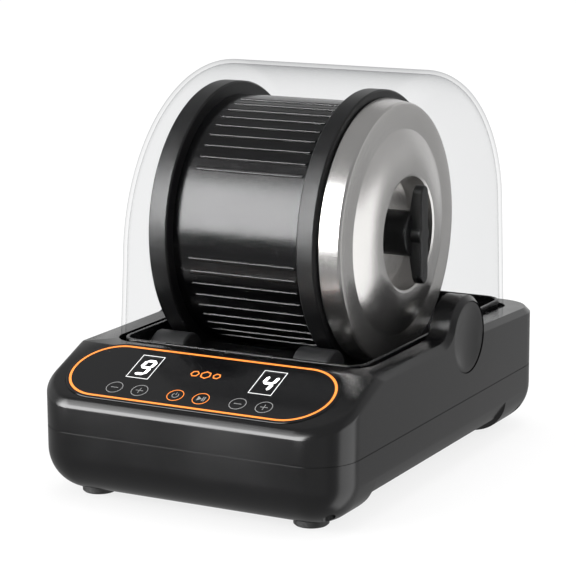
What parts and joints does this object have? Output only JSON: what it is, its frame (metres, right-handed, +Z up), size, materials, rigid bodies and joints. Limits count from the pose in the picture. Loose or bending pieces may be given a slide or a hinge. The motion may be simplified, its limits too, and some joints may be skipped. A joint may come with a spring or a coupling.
{
  "type": "rotary rock tumbler",
  "caption": "Rotary rock tumbler: lidded barrel on powered rollers in a base with a sloping control panel, under a clear lift-off hood.",
  "frame": {"origin": "centre of the base's footprint, on the table under the feet", "axes": "+Z up, the control panel faces -Y, the barrel and rollers lie along X with the lid at +X"},
  "size_m": [0.176, 0.257, 0.2088],
  "materials": {
    "base_shell": "satin",
    "well": "satin",
    "bearing": "satin",
    "foot": "matte",
    "screw": "satin",
    "panel": "gloss",
    "panel_trim": "gloss",
    "display": "gloss",
    "board": "satin",
    "motor": "satin",
    "bracket": "satin",
    "shaft": "bright",
    "pulley": "satin",
    "belt": "matte",
    "roller": "matte",
    "barrel": "satin",
    "liner": "matte",
    "lid_steel": "brushed",
    "gasket": "matte",
    "lid_inner": "satin",
    "stud": "satin",
    "insert": "satin",
    "knob": "matte",
    "hood": "gloss",
    "button": "satin",
    "spring": "bright",
    "socket": "satin"
  },
  "bodies": {
    "base": {"upper_housing": "base_shell", "lower_housing": "base_shell", "well_tray": "well", "shaft_bearings": "bearing", "rubber_feet": "foot", "housing_screws": "screw", "control_panel": "panel", "panel_ring": "panel_trim", "days_display": "display", "speed_display": "display", "control_board": "board", "board_screws": "screw", "power_socket": "socket", "motor": "motor", "motor_bracket": "bracket", "bracket_screws": "screw", "drive_belt": "belt", "release_spring_left": "spring", "release_spring_right": "spring"},
    "barrel": {"barrel_shell": "barrel", "barrel_end_ring": "barrel", "barrel_collar": "barrel", "barrel_liner": "liner"},
    "lid": {"steel_lid": "lid_steel", "lid_gasket": "gasket", "inner_lid_plate": "lid_inner", "clamp_stud": "stud", "lid_washer": "screw"},
    "knob": {"wing_knob": "knob", "knob_insert": "insert"},
    "drive_line": {"drive_shaft": "shaft", "drive_pulley": "pulley", "drive_roller_left": "roller", "drive_roller_right": "roller"},
    "idler_line": {"idler_shaft": "shaft", "idler_roller_left": "roller", "idler_roller_right": "roller"},
    "motor_line": {"motor_shaft": "shaft", "motor_pulley": "pulley"},
    "hood": {"clear_hood": "hood"},
    "left_release": {"release_button_left": "button"},
    "right_release": {"release_button_right": "button"}
  },
  "joints": [
    {"name": "barrel_spin", "type": "hinge", "parent": "base", "child": "barrel", "pos_m": [0, 0.0215, 0.1228], "axis": [1, 0, 0], "continuous": true},
    {"name": "drive_shaft_spin", "type": "hinge", "parent": "base", "child": "drive_line", "pos_m": [0, -0.03663, 0.05936], "axis": [1, 0, 0], "continuous": true},
    {"name": "idler_shaft_spin", "type": "hinge", "parent": "base", "child": "idler_line", "pos_m": [0, 0.07963, 0.05936], "axis": [1, 0, 0], "continuous": true},
    {"name": "motor_shaft_spin", "type": "hinge", "parent": "base", "child": "motor_line", "pos_m": [-0.08, -0.095, 0.0295], "axis": [1, 0, 0], "continuous": true},
    {"name": "lid_pull", "type": "slide", "parent": "barrel", "child": "lid", "axis": [1, 0, 0], "range_m": [0, 0.005]},
    {"name": "knob_turn", "type": "hinge", "parent": "lid", "child": "knob", "pos_m": [0.05, 0.0215, 0.1228], "axis": [1, 0, 0], "range_deg": [0, 720]},
    {"name": "hood_lift", "type": "slide", "parent": "base", "child": "hood", "axis": [0, 0, 1], "range_m": [0, 0.14]},
    {"name": "left_release_press", "type": "slide", "parent": "base", "child": "left_release", "axis": [1, 0, 0], "range_m": [0, 0.002], "deforming": ["release_spring_left"]},
    {"name": "right_release_press", "type": "slide", "parent": "base", "child": "right_release", "axis": [-1, 0, 0], "range_m": [0, 0.002], "deforming": ["release_spring_right"]}
  ],
  "couplings": [
    {"joint": "drive_shaft_spin", "follows": "barrel_spin", "ratio": -6.8182},
    {"joint": "idler_shaft_spin", "follows": "barrel_spin", "ratio": -6.8182},
    {"joint": "motor_shaft_spin", "follows": "barrel_spin", "ratio": -10.227}
  ]
}
